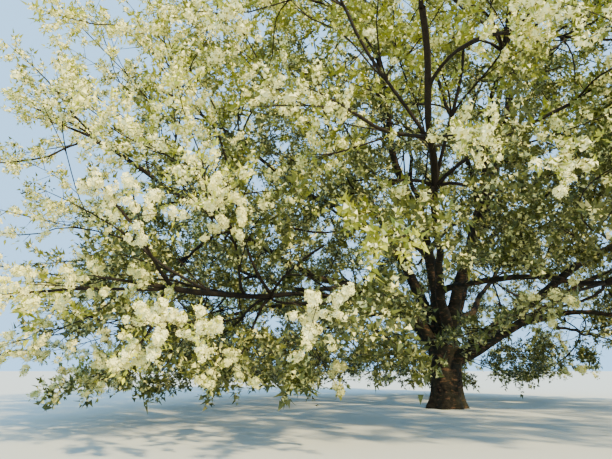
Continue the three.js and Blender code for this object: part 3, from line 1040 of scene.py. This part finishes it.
def add_bump(nodes, links, shader, height, strength, distance):
    bump = nodes.new("ShaderNodeBump")
    bump.inputs["Strength"].default_value = strength
    bump.inputs["Distance"].default_value = distance
    links.new(height, bump.inputs["Height"])
    links.new(bump.outputs["Normal"], shader.inputs["Normal"])


def soft_material(name, low, high, roughness=0.6, scale=30.0, shine=0.5):
    """Petals, leaves and twigs: one base colour with a slight grain."""
    material, nodes, links, shader, coordinates = new_material(name, roughness, shine)
    colour, grain = noise_colour(nodes, links, low, high, coordinates, scale, detail=2.0)
    links.new(colour, shader.inputs["Base Color"])
    add_bump(nodes, links, shader, grain, strength=0.15, distance=0.004)
    return material


def patches(nodes, links, most, coordinates, **noise):
    """A coating in patches, as its share from nothing to most."""
    share, _ = noise_colour(nodes, links, (0, 0, 0), (most, most, most), coordinates, **noise)
    return share


def squashed(nodes, links, coordinates, squash):
    """Coordinates that make a pattern wider than it is tall."""
    mapping = nodes.new("ShaderNodeMapping")
    mapping.inputs["Scale"].default_value = (1, 1, squash)
    links.new(coordinates, mapping.inputs["Vector"])
    return mapping.outputs["Vector"]


def coated(nodes, links, base, coatings):
    """A base colour under coatings, each with its share and its colour."""
    for share, colour in coatings:
        mix = nodes.new("ShaderNodeMix")
        mix.data_type = "RGBA"
        mix.inputs["B"].default_value = (*colour, 1)
        links.new(share, mix.inputs["Factor"])
        links.new(base, mix.inputs["A"])
        base = mix.outputs["Result"]
    return base


def banded_height(nodes, links, coordinates, cracks, bands_share):
    """The height of the bark: its cracks with cross-wise bands over them."""
    bands = nodes.new("ShaderNodeTexWave")
    bands.bands_direction = "Z"
    for name, value in (("Scale", 3.0), ("Distortion", 14.0), ("Detail", 6.0), ("Detail Roughness", 0.7)):
        bands.inputs[name].default_value = value
    links.new(coordinates, bands.inputs["Vector"])
    height = nodes.new("ShaderNodeMath")
    height.operation = "MULTIPLY_ADD"
    height.inputs[1].default_value = bands_share
    links.new(bands.outputs["Fac"], height.inputs[0])
    links.new(cracks, height.inputs[2])
    return height.outputs[0]


def bark_material():
    """Brown bark darkened to near-black as painted shade, with darkened grey-green growth on it, ochre flakes
    and cross-wise bands.
    """
    material, nodes, links, shader, coordinates = new_material("bark", roughness=0.9, shine=0.15)
    base, cracks = noise_colour(nodes, links, *SHADED_TRUNK_BARK, coordinates, scale=9.0, detail=8.0)
    growth = patches(nodes, links, 0.6, coordinates, scale=2.2, detail=5.0)
    wide = squashed(nodes, links, coordinates, squash=2.4)
    flakes = patches(nodes, links, 0.9, wide, scale=6.5, detail=4.0, edges=(0.56, 0.66))
    colour = coated(nodes, links, base, ((growth, SHADED_GROWTH), (flakes, FLAKE)))
    links.new(colour, shader.inputs["Base Color"])
    height = banded_height(nodes, links, coordinates, cracks, bands_share=0.25)
    add_bump(nodes, links, shader, height, strength=0.8, distance=0.03)
    return material


# The tree and its stage


def build_tree():
    bark = bark_material()
    petals = [soft_material(f"petals_{i + 1}", *c) for i, c in enumerate(PETALS_LIT_TO_SHADED)]
    greens = [soft_material(f"leaf_{i + 1}", *c, roughness=0.45) for i, c in enumerate(LEAVES_LIT_TO_SHADED)]
    twig_bark = soft_material("twig_bark", *SHADED_TWIG, roughness=0.8, scale=60.0, shine=0.15)
    boughs = lay_out()
    stretches = Stretches(boughs)
    masses = [Mass(b, boughs, stretches, SEED + (i + 1) * SEED_STEP) for i, b in enumerate(boughs)]
    build_trunk(bark)
    build_boughs(boughs, bark)

    grown = [s for m in masses for s in m.sprays]
    sprays = {key: np.array([s[key] for s in grown]) for key in grown[0]}
    curves, main_tubes = grow_main_shoots(sprays)
    feet, ways, ends, side_tubes = grow_side_shoots(sprays, curves)
    twigs = [t for m in masses for t in m.twigs]
    stout = [t for t in twigs if t["butt"] >= Bark.stout]
    slender = [t for t in twigs if t["butt"] < Bark.stout]
    wood = [
        stem_tubes(masses),
        twig_tubes(stout, Bark.stout_rings, Bark.stout_sides),
        twig_tubes(slender, Bark.slender_rings, Bark.slender_sides),
        main_tubes,
    ]
    for name, parts in (("twigs", wood), ("shoots", [side_tubes])):
        points, quads = join(parts)
        build_piece(name, points, quads, FOLIAGE_NODES, [twig_bark], smooth=True)
    build_foliage(sprays, *place_clusters(sprays, curves, feet, ways, ends), petals, greens)


def build_floor():
    half = Stage.floor_half
    corners = [(-half, -half, 0), (half, -half, 0), (half, half, 0), (-half, half, 0)]
    mesh = bpy.data.meshes.new("floor")
    mesh.from_pydata(corners, [], [(0, 1, 2, 3)])
    material, _, _, shader, _ = new_material("floor", Stage.floor_roughness)
    shader.inputs["Base Color"].default_value = (*Stage.floor_colour, 1)
    mesh.materials.append(material)
    floor = add_object("floor", mesh)
    floor.location.z = -Stage.floor_drop


def build_light():
    world = bpy.data.worlds.new("soft light")
    bpy.context.scene.world = world
    world.use_nodes = True
    background = world.node_tree.nodes["Background"]
    background.inputs["Color"].default_value = (*Stage.sky_colour, 1)
    background.inputs["Strength"].default_value = Stage.sky_strength
    light = bpy.data.lights.new("key", "SUN")
    light.energy = Stage.sun_strength
    light.angle = Stage.sun_width
    light.color = Stage.sun_colour
    sun = add_object("key", light)
    sun.rotation_euler = Euler((Stage.sun_tilt, 0, Stage.sun_turn))


def build_camera():
    lens = bpy.data.cameras.new("camera")
    lens.lens = View.lens
    lens.sensor_width = View.sensor
    camera = add_object("camera", lens)
    camera.location = (-View.left, -View.back, View.eye)
    camera.rotation_euler = Euler((math.pi / 2 + View.pitch, 0, 0))
    bpy.context.scene.camera = camera


build_tree()
build_floor()
build_light()
build_camera()
